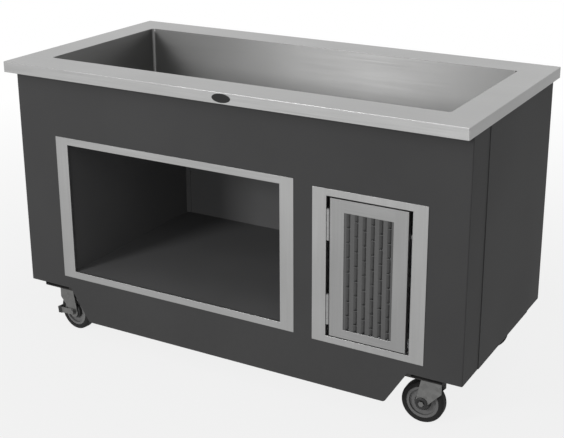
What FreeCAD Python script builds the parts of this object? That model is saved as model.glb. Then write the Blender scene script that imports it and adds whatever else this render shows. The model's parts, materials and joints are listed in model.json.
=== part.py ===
import FreeCAD, Part
import math
import os

os.makedirs("parts", exist_ok=True)

V = FreeCAD.Vector
X = V(1, 0, 0)
Y = V(0, 1, 0)
Z = V(0, 0, 1)

# Whole counter, mm. The origin is on the floor under its middle, and the server's side faces -Y.
counter_length = 1524.0
counter_depth = 762.0
counter_height = 914.0

# Running clearances and standing gaps
running_fit = 0.05
free_gap = 0.3

# Stainless top with a turned-down edge
top_gauge = 2.0
edge_drop = 33.0
edge_return = 12.0
top_corner_radius = 4.0
top_edge_radius = 1.5
rim_side = 114.0
rim_end = 95.0
badge_length = 60.0
badge_height = 26.0
badge_gauge = 1.0
badge_x = 33.0

# Cold pan, its insulation and its coil
pan_depth = 203.0
pan_gauge = 1.5
pan_corner_radius = 12.0
pan_cove = 9.0
foam_wall = 38.0
foam_floor = 25.0
casing_gauge = 1.0
coil_room = 14.0
coil_tube_radius = 4.75
coil_runs = 6
coil_turn_straight = 8.0
coil_side_inset = 67.0
coil_end_inset = 67.0
coil_drop = 20.0
line_bend = 12.0

# Painted body
overhang_side = 50.0
overhang_end = 5.0
panel_gauge = 2.0
panel_corner_radius = 4.0
panel_seam = 118.0
panel_lap = 20.0
panel_flange = 20.0
panel_rise = 11.0
skirt_clearance = 64.0
skirt_inset = 162.0
skirt_run = 68.0
skirt_corner_radius = 14.0

# Base on four swivel casters
caster_inset_end = 105.0
caster_inset_side = 66.0
beam_width = 100.0
sill_width = 50.0
base_tube_height = 60.0
base_tube_wall = 3.0
wheel_diameter = 127.0
wheel_headroom = 17.7
tyre_width = 32.0
tyre_depth = 15.0
tyre_round = 7.0
core_width = 27.0
web_width = 12.0
rim_depth = 8.0
hub_radius = 15.0
hub_side_gap = 1.0
trail = 30.0
axle_radius = 5.0
axle_head_height = 5.0
axle_head_across = 15.0
fork_gauge = 3.0
fork_inner_width = 39.0
fork_top_gauge = 4.0
fork_front = 27.0
fork_rear = 31.0
fork_end_radius = 19.0
fork_shoulder = 45.0
kingpin_radius = 6.0
kingpin_head_radius = 11.0
kingpin_head_height = 4.0
race_radius = 27.0
race_height = 7.0
caster_plate_length = 95.0
caster_plate_width = 66.0
caster_plate_gauge = 4.0
caster_hole_radius = 4.2
caster_hole_inset = 11.0
brake_gauge = 3.0
brake_width = 20.0
brake_reach = 70.0
brake_pad_gauge = 4.0
brake_pad_width = 34.0
brake_rest_angle = 8.0

# Each caster: end of the counter, side of the counter, turn about its kingpin, brake fitted
casters = {
    "front_left": (-1, -1, 172.0, True),
    "front_right": (1, -1, 3.0, False),
    "rear_left": (-1, 1, 171.0, True),
    "rear_right": (1, 1, 12.0, False),
}

# Open storage bay
trim_gauge = 2.0
sleeve_gauge = 1.5
sleeve_fit = 0.5
storage_inset = 187.0
opening_post = 149.0
storage_sill = 14.0
storage_lintel = 9.5
storage_stile = 45.0
storage_rail = 23.0
storage_sleeve = 7.0
bay_wall_gauge = 2.0
bay_wall_set_back = 5.0
bay_back_gap = 17.0
bay_floor_drop = 2.0
bay_corner_flange = 19.0

# Machine bay and its louvered door
machine_inset = 159.0
machine_width = 259.0
machine_sill = 7.0
machine_lintel = 19.5
machine_stile = 44.0
machine_rail = 21.0
machine_sleeve = 33.0
door_hinge_gap = 12.0
door_finger_gap = 11.5
door_top_gap = 4.0
door_bottom_gap = 3.0
door_gauge = 1.5
door_thickness = 18.0
door_stile = 43.5
door_top_rail = 37.0
door_bottom_rail = 27.0
louver_blades = 5
louver_width = 14.0
louver_angle = 35.0
louver_gauge = 1.2
grille_depth = 10.0
grille_lap = 8.0
hinge_length = 92.0
hinge_margin = 34.0
hinge_knuckles = 5
knuckle_radius = 5.0
hinge_pin_radius = 2.5
hinge_pin_head_radius = 4.0
hinge_pin_head_height = 2.0
hinge_leaf_gauge = 2.0
hinge_leaf_depth = 12.0
hinge_axis_depth = 2.0
catch_length = 24.0
catch_height = 30.0
catch_gap = 0.5

# Drain
drain_inset = 107.0
drain_flange_radius = 32.0
drain_flange_height = 2.0
drain_radius = 16.7
drain_bore = 12.0
drain_bar = 3.0
drain_nut_radius = 25.0
drain_nut_height = 8.0
drain_wall_gap = 0.5
valve_drop = 60.0
valve_length = 56.0
valve_radius = 22.0
valve_ball_radius = 18.0
valve_ball_gap = 0.4
valve_body_radius = 26.0
valve_boss_radius = 9.0
valve_boss_length = 36.0
stem_radius = 4.0
lever_length = 95.0
lever_width = 16.0
lever_gauge = 3.0
lever_round = 7.0
outlet_radius = 16.0
outlet_length = 40.0
outlet_clearance = 125.0

# Condensing unit and controls
vent_slots = 7
vent_slot_width = 12.0
vent_slot_length = 60.0
vent_slot_pitch = 30.0
vent_slot_inset = 20.0
condenser_length = 280.0
condenser_depth = 60.0
condenser_headroom = 24.5
condenser_set_back = 60.0
fin_pitch = 8.0
fin_gauge = 2.5
fin_depth = 20.0
condenser_end = 12.0
condenser_bends = 4
bend_tube_radius = 5.0
stub_inset = 22.0
stub_height = 12.0
line_rise = 20.0
shroud_gauge = 3.0
fan_ring_radius = 75.0
fan_ring_depth = 30.0
fan_tip_gap = 4.0
fan_blades = 5
fan_hub_radius = 18.0
fan_hub_length = 24.0
fan_blade_width = 34.0
fan_blade_gauge = 2.0
fan_blade_pitch = 35.0
fan_set_back = 6.0
fan_shaft_radius = 4.0
motor_radius = 42.0
motor_length = 80.0
motor_gap = 12.0
motor_foot_width = 50.0
motor_foot_depth = 30.0
compressor_radius = 95.0
compressor_height = 205.0
compressor_dome = 60.0
compressor_base_round = 30.0
compressor_foot_length = 220.0
compressor_foot_width = 160.0
compressor_foot_gauge = 5.0
compressor_neck_radius = 60.0
compressor_neck_height = 12.0
suction_height = 150.0
suction_reach = 25.0
suction_lead = 40.0
discharge_offset = 40.0
suction_bend = 20.0
control_length = 170.0
control_depth = 75.0
control_height = 95.0
control_gauge = 1.5
control_set_back = 25.0
control_face_inset = 45.0
knob_radius = 18.0
knob_height = 15.0
knob_ridge = 4.0
knob_shaft_radius = 3.0
knob_shaft_length = 14.0
rocker_radius = 13.0
rocker_width = 16.0
rocker_depth = 5.0
rocker_proud = 5.0
rocker_tilt = 10.0
gland_bore = 4.5
gland_radius = 8.0
gland_hole_gap = 0.2
gland_across = 26.0
gland_out = 14.0
gland_in = 8.0
gland_inset = 77.0
gland_rise = 70.0

# Levels
edge_bottom = counter_height - edge_drop
top_under = counter_height - top_gauge
pan_floor = counter_height - pan_depth
pan_under = pan_floor - pan_gauge
foam_top = pan_under - coil_room
foam_under = foam_top - foam_floor
ceiling = foam_under - casing_gauge
wheel_radius = wheel_diameter / 2
fork_top = wheel_diameter + wheel_headroom + fork_top_gauge
caster_height = fork_top + free_gap + race_height + caster_plate_gauge
base_top = caster_height + base_tube_height
panel_bottom = caster_height + panel_rise
machine_floor_top = base_top + panel_gauge

# Plan positions
body_end = counter_length / 2 - overhang_end
body_side = counter_depth / 2 - overhang_side
inside_end = body_end - panel_gauge
inside_side = body_side - panel_gauge
trim_front = -body_side - trim_gauge
pan_length = counter_length - 2 * rim_end
pan_width = counter_depth - 2 * rim_side
foam_length = pan_length + 2 * foam_wall
foam_width = pan_width + 2 * foam_wall
beam_middle = body_end - caster_inset_end
beam_inner = beam_middle - beam_width / 2

# Openings: left, right, bottom, top
machine_right = body_end - machine_inset
machine_left = machine_right - machine_width
storage_left = -body_end + storage_inset
storage_right = machine_left - opening_post
storage_bottom = base_top + storage_sill
storage_top = ceiling - storage_lintel
machine_bottom = base_top + machine_sill
machine_top = ceiling - machine_lintel
storage_mouth = (storage_left, storage_right, storage_bottom, storage_top)
machine_mouth = (machine_left, machine_right, machine_bottom, machine_top)
bay_left = storage_left - bay_wall_set_back
bay_right = storage_right + bay_wall_set_back + sleeve_gauge
bay_back = inside_side - bay_back_gap
bay_floor = storage_bottom - bay_floor_drop
divider_right = bay_right + bay_wall_gauge

# Louvered door
door_left = machine_left + door_hinge_gap
door_right = machine_right - door_finger_gap
door_bottom = machine_bottom + door_bottom_gap
door_top = machine_top - door_top_gap
door_back = trim_front + door_thickness
window = (door_left + door_stile, door_right - door_stile,
          door_bottom + door_bottom_rail, door_top - door_top_rail)
hinge_x = machine_left + door_hinge_gap / 2
hinge_y = trim_front + hinge_axis_depth
hinge_bases = (door_bottom + hinge_margin, door_top - hinge_margin - hinge_length)

# Condensing unit
machine_middle = (machine_left + machine_right) / 2
condenser_left = machine_middle - condenser_length / 2
condenser_right = machine_middle + condenser_length / 2
condenser_front = door_back + condenser_set_back
condenser_back = condenser_front + condenser_depth
condenser_middle = condenser_front + condenser_depth / 2
control_bottom = ceiling - control_height
condenser_top = control_bottom - condenser_headroom
condenser_height = condenser_top - machine_floor_top
fan_level = machine_floor_top + condenser_height / 2
fan_front = condenser_back + fan_set_back
motor_front = condenser_back + fan_ring_depth + motor_gap
motor_back = motor_front + motor_length
compressor_y = (motor_back + inside_side) / 2
compressor_base = machine_floor_top + compressor_foot_gauge + compressor_neck_height
compressor_top = compressor_base + compressor_height
line_level = max(condenser_top, compressor_top) + stub_height + line_rise
suction_level = machine_floor_top + suction_height
control_front = door_back + control_set_back
control_level = ceiling - control_height / 2
knob_x = machine_middle - control_length / 2 + control_face_inset
rocker_x = machine_middle + control_length / 2 - control_face_inset

# Drain and coil
drain_x = pan_length / 2 - drain_inset
valve_top = ceiling - valve_drop
valve_bottom = valve_top - valve_length
valve_level = valve_top - valve_length / 2
coil_level = pan_under - coil_tube_radius - free_gap / 2
coil_end = pan_length / 2 - coil_end_inset
coil_side = pan_width / 2 - coil_side_inset
coil_pitch = 2 * coil_side / (coil_runs - 1)
coil_bend = (coil_pitch - coil_turn_straight) / 2
coil_down = coil_end + line_bend + coil_tube_radius
joint_level = ceiling - coil_drop
compressor_x = (divider_right + coil_down) / 2


def block(x0, x1, y0, y1, z0, z1):
    """Box between two corners."""
    return Part.makeBox(x1 - x0, y1 - y0, z1 - z0, V(x0, y0, z0))


def centred(length, width, z0, z1):
    """Box about the vertical axis."""
    return block(-length / 2, length / 2, -width / 2, width / 2, z0, z1)


def rod(radius, start, end):
    """Round bar between two points."""
    return Part.makeCylinder(radius, (end - start).Length, start, end - start)


def pipe(outer, inner, start, end):
    """Straight round tube between two points."""
    return rod(outer, start, end).cut(rod(inner, start, end))


def is_upright(edge):
    """True for a straight vertical edge."""
    return abs(edge.tangentAt(edge.FirstParameter).z) > 0.999


def rounded(shape, radius, chosen):
    """Shape with the chosen edges rounded."""
    return shape.makeFillet(radius, [edge for edge in shape.Edges if chosen(edge)])


def plate(points, thickness):
    """Flat plate from an outline, its thickness given as a vector."""
    return Part.Face(Part.makePolygon(points + points[:1])).extrude(thickness)


def hexagon(across, start, end):
    """Six-sided bar between two points."""
    corner = across / math.sqrt(3)
    turns = [math.radians(60 * step) for step in range(6)]
    bar = plate([V(corner * math.cos(a), corner * math.sin(a), 0) for a in turns], Z * (end - start).Length)
    bar.Placement = FreeCAD.Placement(start, FreeCAD.Rotation(Z, end - start))
    return bar


def bent_tube(radius, points, bends):
    """Solid round tube through the points, each corner bent to its own radius."""
    edges = []
    here = points[0]
    for before, corner, after, bend in zip(points, points[1:], points[2:], bends):
        back = (before - corner).normalize()
        ahead = (after - corner).normalize()
        half = back.getAngle(ahead) / 2
        start = corner + back * (bend / math.tan(half))
        end = corner + ahead * (bend / math.tan(half))
        middle = corner + (back + ahead).normalize() * (bend / math.sin(half) - bend)
        edges.append(Part.makeLine(here, start))
        edges.append(Part.Arc(start, middle, end).toShape())
        here = end
    edges.append(Part.makeLine(here, points[-1]))
    ring = Part.Wire(Part.makeCircle(radius, points[0], points[1] - points[0]))
    return Part.Wire(edges).makePipeShell([ring], True, False)


def union(shapes):
    """One solid from touching shapes, without seams on flat faces."""
    return shapes[0].multiFuse(shapes[1:]).removeSplitter()


def pan_form(inset, z0, z1):
    """Upright-cornered form of the cold pan."""
    form = centred(pan_length - 2 * inset, pan_width - 2 * inset, z0, z1)
    return rounded(form, pan_corner_radius - inset, is_upright)


def pan_bowl(inset, z0):
    """Form of the cold pan with a coved floor."""
    form = pan_form(inset, z0, counter_height)
    return rounded(form, pan_cove - inset, lambda edge: edge.BoundBox.ZMax < z0 + 0.01)


def drain_hole(z0, z1):
    """Hole for the drain tail."""
    return rod(drain_radius + drain_wall_gap, V(drain_x, 0, z0), V(drain_x, 0, z1))


def line_holes(z0, z1):
    """Holes for the two coil tails."""
    radius = coil_tube_radius + drain_wall_gap
    return [rod(radius, V(coil_down, y, z0), V(coil_down, y, z1)) for y in (-coil_side, coil_side)]


def counter_top():
    """Stainless top: flat sheet, turned-down edge returned along both sides, mouth for the pan."""
    outer = centred(counter_length, counter_depth, edge_bottom, counter_height)
    outer = rounded(outer, top_corner_radius, is_upright)
    outer = rounded(outer, top_edge_radius, lambda edge: edge.BoundBox.ZMin > counter_height - 0.01)
    length = counter_length - 2 * top_gauge
    width = counter_depth - 2 * top_gauge
    inner = centred(length, width, edge_bottom + top_gauge, top_under)
    mouth = centred(length, width - 2 * edge_return, edge_bottom, edge_bottom + top_gauge)
    return outer.cut(inner).cut(mouth).cut(pan_form(0, top_under, counter_height))


def badge_plate():
    """Blank oval plate on the front edge."""
    middle = V(badge_x, -counter_depth / 2, edge_bottom + edge_drop / 2)
    tip = middle + X * (badge_length / 2)
    crown = middle + Z * (badge_height / 2)
    outline = Part.Wire(Part.Ellipse(tip, crown, middle).toShape())
    return Part.Face(outline).extrude(Y * -badge_gauge)


def cold_pan():
    """Deep pan with rounded corners and a drain hole."""
    pan = pan_bowl(0, pan_under).cut(pan_bowl(pan_gauge, pan_floor))
    return pan.cut(drain_hole(pan_under, pan_floor))


def pan_insulation():
    """Foam round the pan, with room under it for the coil."""
    foam = centred(foam_length, foam_width, foam_under, top_under)
    foam = foam.cut(pan_form(0, foam_top, top_under))
    return foam.cut([drain_hole(foam_under, foam_top)] + line_holes(foam_under, foam_top))


def pan_casing():
    """Sheet casing outside the foam."""
    casing = centred(foam_length + 2 * casing_gauge, foam_width + 2 * casing_gauge, ceiling, top_under)
    casing = casing.cut(centred(foam_length, foam_width, foam_under, top_under))
    return casing.cut([drain_hole(ceiling, foam_under)] + line_holes(ceiling, foam_under))


def cooling_coil():
    """One copper tube to and fro under the pan, both tails turned down at the right."""
    points = [V(coil_down, -coil_side, joint_level), V(coil_down, -coil_side, coil_level)]
    for run in range(coil_runs - 1):
        turn = -coil_end if run % 2 == 0 else coil_end
        side = -coil_side + run * coil_pitch
        points.append(V(turn, side, coil_level))
        points.append(V(turn, side + coil_pitch, coil_level))
    points.append(V(coil_down, coil_side, coil_level))
    points.append(V(coil_down, coil_side, joint_level))
    bends = [line_bend] + [coil_bend] * (2 * coil_runs - 2) + [line_bend]
    return bent_tube(coil_tube_radius, points, bends)


def body_panel():
    """Long side of the body: returns round both corners, flange under the top, skirt between the casters."""
    back = -body_side + panel_seam + panel_lap
    outer = block(-body_end, body_end, -body_side, back, panel_bottom, top_under)
    inner = block(-inside_end, inside_end, -inside_side, back, panel_bottom, top_under)
    at_front = lambda edge: is_upright(edge) and edge.BoundBox.YMax < back - panel_gauge
    shell = rounded(outer, panel_corner_radius, at_front)
    shell = shell.cut(rounded(inner, panel_corner_radius - panel_gauge, at_front))
    flange = block(-inside_end + panel_corner_radius, inside_end - panel_corner_radius, -inside_side,
                   -inside_side + panel_flange, top_under - panel_gauge, top_under)
    high = body_end - skirt_inset
    low = high - skirt_run
    corners = [V(-high, -body_side, panel_bottom), V(-low, -body_side, skirt_clearance),
               V(low, -body_side, skirt_clearance), V(high, -body_side, panel_bottom)]
    skirt = plate(corners, Y * panel_gauge)
    at_foot = lambda edge: edge.BoundBox.ZMax < skirt_clearance + 0.01 and edge.BoundBox.XLength < 0.01
    skirt = rounded(skirt, skirt_corner_radius, at_foot)
    return union([shell, flange, skirt])


def mouth_cut(mouth):
    """Cut-out in the front panel for a trim and its sleeve."""
    left, right, bottom, top = mouth
    grow = sleeve_gauge + sleeve_fit
    return block(left - grow, right + grow, -body_side, -inside_side, bottom - grow, top + grow)


def front_panel():
    """Server's side, with the storage and machine openings."""
    return body_panel().cut([mouth_cut(storage_mouth), mouth_cut(machine_mouth)])


def back_panel():
    """Guests' side, plain but for the cord gland's hole."""
    panel = body_panel()
    panel.rotate(V(0, 0, 0), Z, 180)
    start, end = gland_ends()
    return panel.cut(rod(gland_radius + gland_hole_gap, start, end))


def end_panel(side):
    """Flat end panel, lapped over the returns of the long panels."""
    reach = body_side - panel_seam
    x0 = body_end if side > 0 else -body_end - panel_gauge
    return block(x0, x0 + panel_gauge, -reach, reach, panel_bottom, top_under)


def caster_beam(side):
    """Square tube across the counter over two casters."""
    left = side * beam_middle - beam_width / 2
    right = left + beam_width
    outer = block(left, right, -inside_side, inside_side, caster_height, base_top)
    inner = block(left + base_tube_wall, right - base_tube_wall, -inside_side, inside_side,
                  caster_height + base_tube_wall, base_top - base_tube_wall)
    return outer.cut(inner)


def sill(side):
    """Square tube between the beams along a long side."""
    near = side * inside_side if side < 0 else inside_side - sill_width
    outer = block(-beam_inner, beam_inner, near, near + sill_width, caster_height, base_top)
    inner = block(-beam_inner, beam_inner, near + base_tube_wall, near + sill_width - base_tube_wall,
                  caster_height + base_tube_wall, base_top - base_tube_wall)
    return outer.cut(inner)


def bay_flange():
    """Strip of the bay's left wall that is turned along the back wall."""
    return block(bay_left - bay_wall_gauge, bay_left + bay_corner_flange,
                 bay_back - bay_wall_gauge, bay_back, base_top, ceiling)


def storage_floor():
    """Bay floor with its edges turned down on to the sills, notched round the wall's flange."""
    front = trim_front + storage_sleeve + sleeve_fit
    tray = block(bay_left, bay_right, front, bay_back, base_top, bay_floor)
    under = block(bay_left + bay_wall_gauge, bay_right - bay_wall_gauge, front + bay_wall_gauge,
                  bay_back - bay_wall_gauge, base_top, bay_floor - bay_wall_gauge)
    return tray.cut([under, bay_flange()])


def storage_left_wall():
    """Left wall of the bay with a flange turned along the back wall."""
    wall = block(bay_left - bay_wall_gauge, bay_left, -inside_side, inside_side, base_top, ceiling)
    return union([wall, bay_flange()])


def storage_back_wall():
    """Back wall of the bay."""
    return block(bay_left, bay_right, bay_back, bay_back + bay_wall_gauge, base_top, ceiling)


def divider_wall():
    """Wall between the storage bay and the machine bay."""
    return block(bay_right, divider_right, -inside_side, inside_side, base_top, ceiling)


def machine_floor():
    """Floor of the machine bay with vent slots and a hole for the drain pipe."""
    floor = block(divider_right, inside_end - panel_corner_radius, -inside_side, inside_side,
                  base_top, machine_floor_top)
    left = divider_right + vent_slot_inset
    cuts = [drain_hole(base_top, machine_floor_top)]
    for step in range(vent_slots):
        y = (step - vent_slots / 2) * vent_slot_pitch
        cuts.append(block(left, left + vent_slot_length, y, y + vent_slot_width, base_top, machine_floor_top))
    return floor.cut(cuts)


def trim(mouth, stile, rail, depth):
    """Flat stainless frame on the front panel with a sleeve through the opening."""
    left, right, bottom, top = mouth
    back = trim_front + depth
    face = block(left - stile, right + stile, trim_front, -body_side, bottom - rail, top + rail)
    sleeve = block(left - sleeve_gauge, right + sleeve_gauge, trim_front, back,
                   bottom - sleeve_gauge, top + sleeve_gauge)
    return union([face, sleeve]).cut(block(left, right, trim_front, back, bottom, top))


def door_frame():
    """Door skin with returned edges and a window for the grille."""
    skin = block(door_left, door_right, trim_front, door_back, door_bottom, door_top)
    back = block(door_left + door_gauge, door_right - door_gauge, trim_front + door_gauge, door_back,
                 door_bottom + door_gauge, door_top - door_gauge)
    left, right, bottom, top = window
    return skin.cut(back).cut(block(left, right, trim_front, trim_front + door_gauge, bottom, top))


def louver_grille():
    """Frame behind the door window with upright, turned blades."""
    left, right, bottom, top = window
    front = trim_front + door_gauge
    back = front + grille_depth
    outer = block(left - grille_lap, right + grille_lap, front, back, bottom - grille_lap, top + grille_lap)
    shapes = [outer.cut(block(left, right, front, back, bottom, top))]
    pitch = (right - left) / (louver_blades + 1)
    for step in range(louver_blades):
        blade = block(-louver_width / 2, louver_width / 2, -louver_gauge / 2, louver_gauge / 2,
                      bottom - grille_lap / 2, top + grille_lap / 2)
        blade.rotate(V(0, 0, 0), Z, louver_angle)
        blade.translate(V(left + (step + 1) * pitch, (front + back) / 2, 0))
        shapes.append(blade)
    return union(shapes)


def hinge_leaf(base, hand, first):
    """Hinge leaf on one side of the gap with every second knuckle."""
    outer = hinge_x + hand * door_hinge_gap / 2
    inner = outer - hand * hinge_leaf_gauge
    x0 = min(outer, inner)
    x1 = max(outer, inner)
    clear = hinge_y + knuckle_radius + 2 * free_gap
    shapes = [block(x0, x1, clear, clear + hinge_leaf_depth, base, base + hinge_length)]
    pitch = hinge_length / hinge_knuckles
    for step in range(first, hinge_knuckles, 2):
        low = base + step * pitch + free_gap / 2
        high = base + (step + 1) * pitch - free_gap / 2
        shapes.append(rod(knuckle_radius, V(hinge_x, hinge_y, low), V(hinge_x, hinge_y, high)))
        shapes.append(block(x0, x1, hinge_y, clear, low, high))
    foot = V(hinge_x, hinge_y, base)
    return union(shapes).cut(rod(hinge_pin_radius + running_fit, foot, foot + Z * hinge_length))


def hinge_pin(base):
    """Hinge pin with a head resting on the top knuckle."""
    foot = V(hinge_x, hinge_y, base)
    top = foot + Z * hinge_length
    head = rod(hinge_pin_head_radius, top, top + Z * hinge_pin_head_height)
    return rod(hinge_pin_radius, foot, top).fuse(head)


def door_catch():
    """Magnetic catch on the sleeve behind the free edge of the door."""
    middle = (door_bottom + door_top) / 2
    return block(machine_right - catch_length, machine_right,
                 door_back + catch_gap, trim_front + machine_sleeve,
                 middle - catch_height / 2, middle + catch_height / 2)


def drain_fitting():
    """Strainer flange in the pan, threaded tail and the nut that clamps it."""
    foot = V(drain_x, 0, valve_top)
    seat = V(drain_x, 0, pan_floor)
    crown = seat + Z * drain_flange_height
    clamp = V(drain_x, 0, pan_under)
    flange = rod(drain_flange_radius, seat, crown)
    nut = hexagon(2 * drain_nut_radius, clamp - Z * drain_nut_height, clamp)
    body = union([flange, rod(drain_radius, foot, crown), nut]).cut(rod(drain_bore, foot, crown))
    bar = drain_bar / 2
    reach = (drain_bore + drain_radius) / 2
    cross = [block(drain_x - bar, drain_x + bar, -reach, reach, seat.z, crown.z),
             block(drain_x - reach, drain_x + reach, -bar, bar, seat.z, crown.z)]
    return body.multiFuse(cross).removeSplitter()


def drain_valve():
    """Ball valve body with a boss for the stem."""
    middle = V(drain_x, 0, valve_level)
    low = V(drain_x, 0, valve_bottom)
    high = V(drain_x, 0, valve_top)
    body = union([rod(valve_radius, low, high), Part.makeSphere(valve_body_radius, middle),
                  rod(valve_boss_radius, middle, middle - Y * valve_boss_length)])
    cavity = Part.makeSphere(valve_ball_radius + valve_ball_gap, middle)
    stem_bore = rod(stem_radius + running_fit, middle, middle - Y * valve_boss_length)
    return body.cut([rod(drain_bore, low, high), cavity, stem_bore])


def drain_lever():
    """Lever with its stem and the ball it turns, shown shut."""
    middle = V(drain_x, 0, valve_level)
    across = rod(drain_bore, middle - X * valve_body_radius, middle + X * valve_body_radius)
    ball = Part.makeSphere(valve_ball_radius, middle).cut(across)
    face = -valve_boss_length - free_gap
    stem = rod(stem_radius, middle - Y * (drain_bore + stem_radius / 2), middle + Y * face)
    half = lever_width / 2
    arm = block(drain_x - lever_length, drain_x + half, face - lever_gauge, face,
                valve_level - half, valve_level + half)
    arm = rounded(arm, lever_round, lambda edge: abs(edge.tangentAt(edge.FirstParameter).y) > 0.999)
    return union([ball, stem, arm])


def drain_pipe():
    """Pipe from the valve through the floor, turned down at its end for a hose."""
    low = V(drain_x, 0, outlet_clearance)
    shoulder = low + Z * outlet_length
    high = V(drain_x, 0, valve_bottom)
    outer = rod(drain_radius, shoulder, high).fuse(rod(outlet_radius, low, shoulder))
    return outer.cut(rod(drain_bore, low, high))


def condenser():
    """Finned block with return bends at its right end and two stubs on top."""
    core = block(condenser_left, condenser_right, condenser_front, condenser_back,
                 machine_floor_top, condenser_top)
    low = machine_floor_top + condenser_end
    high = condenser_top - condenser_end
    gaps = []
    for step in range(int((condenser_length - 2 * condenser_end) / fin_pitch)):
        x0 = condenser_left + condenser_end + step * fin_pitch + fin_gauge
        x1 = x0 + fin_pitch - fin_gauge
        gaps.append(block(x0, x1, condenser_front, condenser_front + fin_depth, low, high))
        gaps.append(block(x0, x1, condenser_back - fin_depth, condenser_back, low, high))
    shapes = []
    pitch = condenser_height / (2 * condenser_bends)
    outside = block(condenser_right, condenser_right + pitch, condenser_front, condenser_back,
                    machine_floor_top, condenser_top)
    for step in range(condenser_bends):
        middle = V(condenser_right, condenser_middle, machine_floor_top + (2 * step + 1) * pitch)
        shapes.append(Part.makeTorus(pitch / 2, bend_tube_radius, middle, Y).common(outside))
    for x in (condenser_left + stub_inset, condenser_right - stub_inset):
        shapes.append(rod(coil_tube_radius, V(x, condenser_middle, condenser_top),
                          V(x, condenser_middle, condenser_top + stub_height)))
    return core.cut(gaps).multiFuse(shapes)


def fan_axis(y):
    """Point on the fan's axis."""
    return V(machine_middle, y, fan_level)


def fan_shroud():
    """Plate behind the condenser with a ring round the fan."""
    back = condenser_back + fan_ring_depth
    face = block(condenser_left, condenser_right, condenser_back, condenser_back + shroud_gauge,
                 machine_floor_top, condenser_top)
    ring = rod(fan_ring_radius + shroud_gauge, fan_axis(condenser_back), fan_axis(back))
    return union([face, ring]).cut(rod(fan_ring_radius, fan_axis(condenser_back), fan_axis(back)))


def fan_blade():
    """Hub with pitched blades, bored for the motor shaft."""
    middle = fan_front + fan_hub_length / 2
    shapes = [rod(fan_hub_radius, fan_axis(fan_front), fan_axis(fan_front + fan_hub_length))]
    reach = fan_ring_radius - fan_tip_gap
    for step in range(fan_blades):
        blade = block(-fan_blade_width / 2, fan_blade_width / 2, -fan_blade_gauge / 2, fan_blade_gauge / 2,
                      fan_hub_radius / 2, reach)
        blade.rotate(V(0, 0, 0), Z, fan_blade_pitch)
        blade.rotate(V(0, 0, 0), Y, 360 * step / fan_blades)
        blade.translate(fan_axis(middle))
        shapes.append(blade)
    swept = rod(reach, fan_axis(condenser_back), fan_axis(motor_front))
    bore = rod(fan_shaft_radius + running_fit, fan_axis(fan_front), fan_axis(motor_front))
    return shapes[0].multiFuse(shapes[1:]).common(swept).cut(bore)


def fan_motor():
    """Motor on a foot with its shaft through the fan hub."""
    case = rounded(rod(motor_radius, fan_axis(motor_front), fan_axis(motor_back)), motor_radius / 7,
                   lambda edge: len(edge.Vertexes) == 1)
    shaft = rod(fan_shaft_radius, fan_axis(fan_front), fan_axis(motor_front + 1))
    half = motor_foot_width / 2
    middle = (motor_front + motor_back) / 2
    foot = block(machine_middle - half, machine_middle + half, middle - motor_foot_depth / 2,
                 middle + motor_foot_depth / 2, machine_floor_top, fan_level - motor_radius / 2)
    return union([case, shaft, foot])


def compressor():
    """Domed shell on a foot plate, with stubs for the suction and discharge lines."""
    middle = V(compressor_x, compressor_y, 0)
    foot = block(compressor_x - compressor_foot_length / 2, compressor_x + compressor_foot_length / 2,
                 compressor_y - compressor_foot_width / 2, compressor_y + compressor_foot_width / 2,
                 machine_floor_top, machine_floor_top + compressor_foot_gauge)
    neck = rod(compressor_neck_radius, middle + Z * machine_floor_top, middle + Z * (compressor_base + 1))
    shell = rod(compressor_radius, middle + Z * compressor_base, middle + Z * compressor_top)
    level = (compressor_base + compressor_top) / 2
    shell = rounded(shell, compressor_dome, lambda edge: edge.BoundBox.ZMin > level)
    shell = rounded(shell, compressor_base_round, lambda edge: edge.BoundBox.ZMax < compressor_base + 0.01)
    suction = rod(coil_tube_radius, middle + Z * suction_level,
                  V(compressor_x + compressor_radius + suction_reach, compressor_y, suction_level))
    top = V(compressor_x - discharge_offset, compressor_y, compressor_top)
    discharge = rod(coil_tube_radius, top - Z * compressor_dome, top + Z * stub_height)
    return union([foot, neck, shell, suction, discharge])


def refrigerant_lines():
    """Three copper lines joining the coil, the condenser and the compressor."""
    right_stub = V(condenser_right - stub_inset, condenser_middle, condenser_top + stub_height)
    left_stub = V(condenser_left + stub_inset, condenser_middle, condenser_top + stub_height)
    liquid = [V(coil_down, -coil_side, joint_level), V(coil_down, -coil_side, line_level),
              V(right_stub.x, right_stub.y, line_level), right_stub]
    suction_stub = V(compressor_x + compressor_radius + suction_reach, compressor_y, suction_level)
    suction = [V(coil_down, coil_side, joint_level), V(coil_down, coil_side, suction_level),
               suction_stub + X * suction_lead, suction_stub]
    top = V(compressor_x - discharge_offset, compressor_y, compressor_top + stub_height)
    discharge = [top, V(top.x, top.y, line_level), V(left_stub.x, left_stub.y, line_level), left_stub]
    return Part.makeCompound([bent_tube(coil_tube_radius, liquid, [line_bend] * 2),
                              bent_tube(coil_tube_radius, suction, [suction_bend] * 2),
                              bent_tube(coil_tube_radius, discharge, [line_bend] * 2)])


def control_box():
    """Hollow box under the casing, its face cut for the knob's shaft and the rocker."""
    half = control_length / 2
    back = control_front + control_depth
    box = block(machine_middle - half, machine_middle + half, control_front, back, control_bottom, ceiling)
    inner = block(machine_middle - half + control_gauge, machine_middle + half - control_gauge,
                  control_front + control_gauge, back - control_gauge, control_bottom + control_gauge,
                  ceiling - control_gauge)
    shaft_hole = rod(knob_shaft_radius + running_fit, V(knob_x, control_front, control_level),
                     V(knob_x, control_front + control_gauge, control_level))
    wide = rocker_width / 2 + free_gap
    tall = rocker_radius + free_gap
    slot = block(rocker_x - wide, rocker_x + wide, control_front, control_front + control_gauge,
                 control_level - tall, control_level + tall)
    return box.cut([inner, shaft_hole, slot])


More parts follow.
